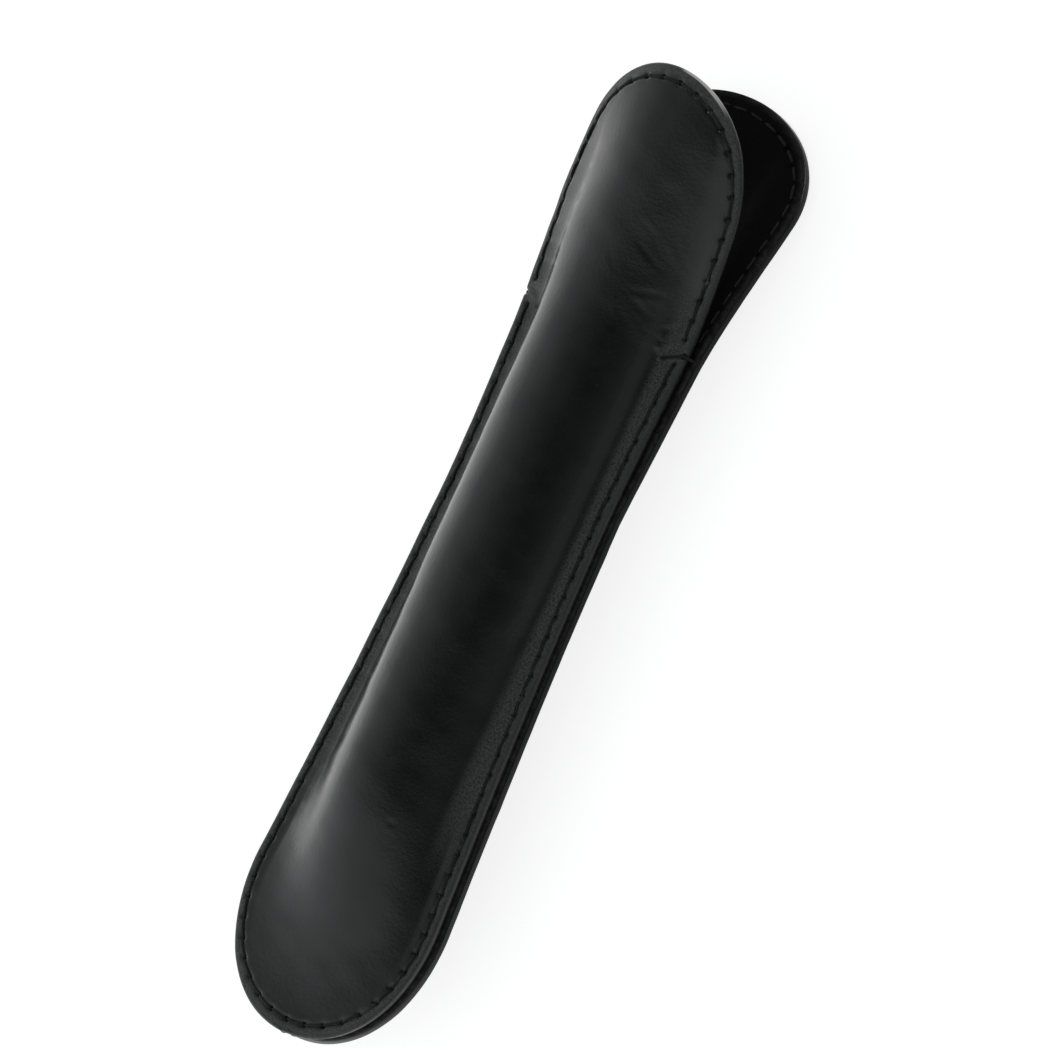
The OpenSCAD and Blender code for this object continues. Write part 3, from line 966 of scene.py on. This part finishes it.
for leaf in (FRONT, BACK):
    side = leaf.name
    leather = layer_mesh(
        f"{side}_leather", leaf, 0.0, LEATHER_T - LAYER_GAP,
        FRONT_ROUNDING if leaf is FRONT else BACK_ROUNDING, INNER_ROUNDING,
        **LEATHER_GRID)
    dress(leather, LEATHER, [f"{side}_body_leather", f"{side}_lip_leather"])
    bend(leather, leaf)
    lining = layer_mesh(
        f"{side}_lining", leaf, LEATHER_T + LAYER_GAP, LEAF_T - LAYER_GAP,
        LINING_ROUNDING, INNER_ROUNDING,
        inset=LINING_INSET, relief_share=0.0, **LINING_GRID)
    dress(lining, SHADED_LINING, [f"{side}_body_lining", f"{side}_lip_lining"])
    bend(lining, leaf)

    seam = tube_mesh(f"{side}_seam_stitches", stitches(SEAM_HOLES, leaf))
    dress(seam, THREAD, [f"{side}_seam_thread"])
    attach(seam, "sleeve")
    for inner, where in ((False, "outer"), (True, "inner")):
        row = tube_mesh(f"{side}_lip_{where}_stitches",
                        stitches(LIP_HOLES[side], leaf, inner))
        dress(row, THREAD, [f"{side}_lip_{where}_thread"])
        bend(row, leaf)

# The stitch over the edge, on the right and on the left: how deep it lies under the face
# and inside the edge. Then its dip into the hole, how far inside the edge its run on the
# face ends, and its two points over the edge, as inside the edge and under the flange.
TACK_DEPTH = {1: 0.05, -1: 0.30}
TACK_INSET = {1: 0.0, -1: 0.25}
TACK_HOLE_DEPTH = 0.5
TACK_HOLE_RUN = 0.12
TACK_EDGE = 0.4
TACK_TURN = ((0.1, 0.18), (0.0, 0.6))
TACK_POINTS = 12


def end_stitch(sign):
    """The slanting stitch over the edge at the throat, from its hole on the front round
    to the same hole on the back. On the left it has cut into the leather."""
    t = np.linspace(0, 1, TACK_POINTS)
    x = TACK_IN + (TACK_OUT - TACK_EDGE - TACK_IN) * t
    y = TACK_TOP - TACK_SLANT * (1 - t)
    into_hole = TACK_HOLE_DEPTH * (1 - np.minimum(1, t / TACK_HOLE_RUN))
    out = TACK_OUT - TACK_INSET[sign]
    edge = [[out - inside, TACK_TOP, LEAF_T - under] for inside, under in TACK_TURN]
    faces = []
    for leaf in (FRONT, BACK):
        z = face_z(x, y, leaf) - TACK_DEPTH[sign] - into_hole
        line = np.concatenate([np.stack([x, y, z], 1), edge])
        line[:, 0] = spread_x(line[:, 0] * sign, line[:, 1], leaf)
        line[:, 2] *= leaf.sign
        faces.append(line)
    return np.concatenate([faces[0], faces[1][::-1]])


for sign, side in ((-1, "left"), (1, "right")):
    tack = tube_mesh(f"{side}_throat_stitch", [end_stitch(sign)])
    dress(tack, THREAD, [f"{side}_throat_tack"])
    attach(tack, "sleeve")


# Floor: white where the camera looks at it. Glossy leather sees it bright on the left,
# dark on the right, and a little brighter towards the closed end.

FLOOR_SIZE = 6.0
FLOOR_DROP = 0.00005
FLOOR_GREY = (0.5, 0.5, 0.5, 1)
FLOOR_WHITE = 0.80
FLOOR_GLOSS = (0.95, 0.04)
FLOOR_GLOSS_X = (-0.02, 0.02)
FLOOR_END_GLOSS = (0.0, 0.42)
FLOOR_END_Y = (-0.01, -0.07)

me = bpy.data.meshes.new("floor")
h = FLOOR_SIZE / 2
me.from_pydata([(-h, -h, 0), (h, -h, 0), (h, h, 0), (-h, h, 0)], [], [(0, 1, 2, 3)])
floor = link("floor", me)
floor.location.z = -FLOOR_DROP
white = bpy.data.materials.new("floor_white")
k = Nodes(white)
path = k.add("ShaderNodeLightPath")
place = k.add("ShaderNodeSeparateXYZ", {0: k.add("ShaderNodeTexCoord").outputs["Object"]})
gloss = k.plus(k.remap(place.outputs["X"], FLOOR_GLOSS_X, FLOOR_GLOSS),
               k.remap(place.outputs["Y"], FLOOR_END_Y, FLOOR_END_GLOSS))
glow = k.add("ShaderNodeEmission", {
    "Color": (1, 1, 1, 1),
    "Strength": k.plus(k.times(path.outputs["Is Camera Ray"], FLOOR_WHITE),
                       k.times(path.outputs["Is Glossy Ray"], gloss))})
matt = k.add("ShaderNodeBsdfDiffuse", {"Color": FLOOR_GREY})
both = k.add("ShaderNodeAddShader", {0: matt.outputs[0], 1: glow.outputs[0]})
k.add("ShaderNodeOutputMaterial", {"Surface": both.outputs[0]})
floor.data.materials.append(white)

# Soft studio surroundings: bright low on the left, dim above and on the right, and
# brighter again towards both ends
SKY = [(0.0, 0.86), (0.03, 0.80), (0.085, 0.68), (0.205, 0.48), (0.415, 0.21),
       (0.75, 0.05), (0.905, 0.08), (0.97, 0.13), (1.0, 0.20)]
SKY_TINT = (0.97, 0.99, 1.0, 1)
TOE_SKY = ((0.0, -0.45), (0.0, 0.55))
TIP_SKY = ((0.4, 0.95), (0.0, 0.3))

studio = bpy.data.worlds.new("studio")
bpy.context.scene.world = studio
k = Nodes(studio)
way = k.add("ShaderNodeSeparateXYZ", {0: k.add("ShaderNodeTexCoord").outputs["Generated"]})
sky = k.grey_ramp(k.plus(k.times(way.outputs["X"], 0.5), 0.5), SKY)
toe_glow, tip_glow = (
    k.remap(way.outputs["Y"], *ends, interpolation_type="SMOOTHSTEP")
    for ends in (TOE_SKY, TIP_SKY))
level = k.plus(k.plus(sky, toe_glow), tip_glow)
air = k.add("ShaderNodeBackground", {"Color": SKY_TINT, "Strength": level})
k.add("ShaderNodeOutputWorld", {"Surface": air.outputs[0]})


def softbox(name, direction, distance, size_x, size_y, radiance):
    """Soft lamp seen from the sleeve in a given direction and turned towards it."""
    lamp = bpy.data.lights.new(name, "AREA")
    lamp.shape = "RECTANGLE"
    lamp.size, lamp.size_y = size_x, size_y
    lamp.energy = radiance * math.pi * size_x * size_y
    obj = link(name, lamp)
    d = Vector(direction).normalized()
    obj.location = d * distance
    obj.rotation_euler = d.to_track_quat("Z", "Y").to_euler()


softbox("key", (-1.0, -0.12, 0.17), 1.0, 1.9, 0.34, radiance=0.22)
softbox("rim_light", (0.45, 0.80, 0.42), 1.2, 0.45, 0.09, radiance=16.0)

# The camera, from the fit of the sleeve's outline in the photograph
YAW = math.radians(30.19)
PITCH = math.radians(1.38)
LEAN = math.radians(24.56)
MM_PER_PX = 0.1318
VIEW_DIST = 900.0
PHOTO_PX = 1048
SENSOR_MM = 36
AIM = Vector((0, 70, 0))
AIM_PX = (508.86, 550.85)

to_camera = Vector((math.sin(YAW) * math.cos(PITCH), -math.sin(PITCH),
                    math.cos(YAW) * math.cos(PITCH)))
right = Vector((math.cos(YAW), 0, -math.sin(YAW)))
up = to_camera.cross(right)
image_right = right * math.cos(LEAN) + up * math.sin(LEAN)
image_up = up * math.cos(LEAN) - right * math.sin(LEAN)
cam_data = bpy.data.cameras.new("camera")
cam_data.sensor_width = SENSOR_MM
cam_data.lens = SENSOR_MM * (VIEW_DIST / MM_PER_PX) / PHOTO_PX
cam_data.shift_x = (PHOTO_PX / 2 - AIM_PX[0]) / PHOTO_PX
cam_data.shift_y = (AIM_PX[1] - PHOTO_PX / 2) / PHOTO_PX
cam_data.clip_start, cam_data.clip_end = 0.05, 20
camera = link("camera", cam_data)
stand = to_metres(np.array(AIM + to_camera * VIEW_DIST))
turn = Matrix((image_right, image_up, to_camera)).transposed().to_4x4()
camera.matrix_world = Matrix.Translation(Vector(stand)) @ turn
bpy.context.scene.camera = camera
bpy.context.scene.view_settings.view_transform = "Standard"
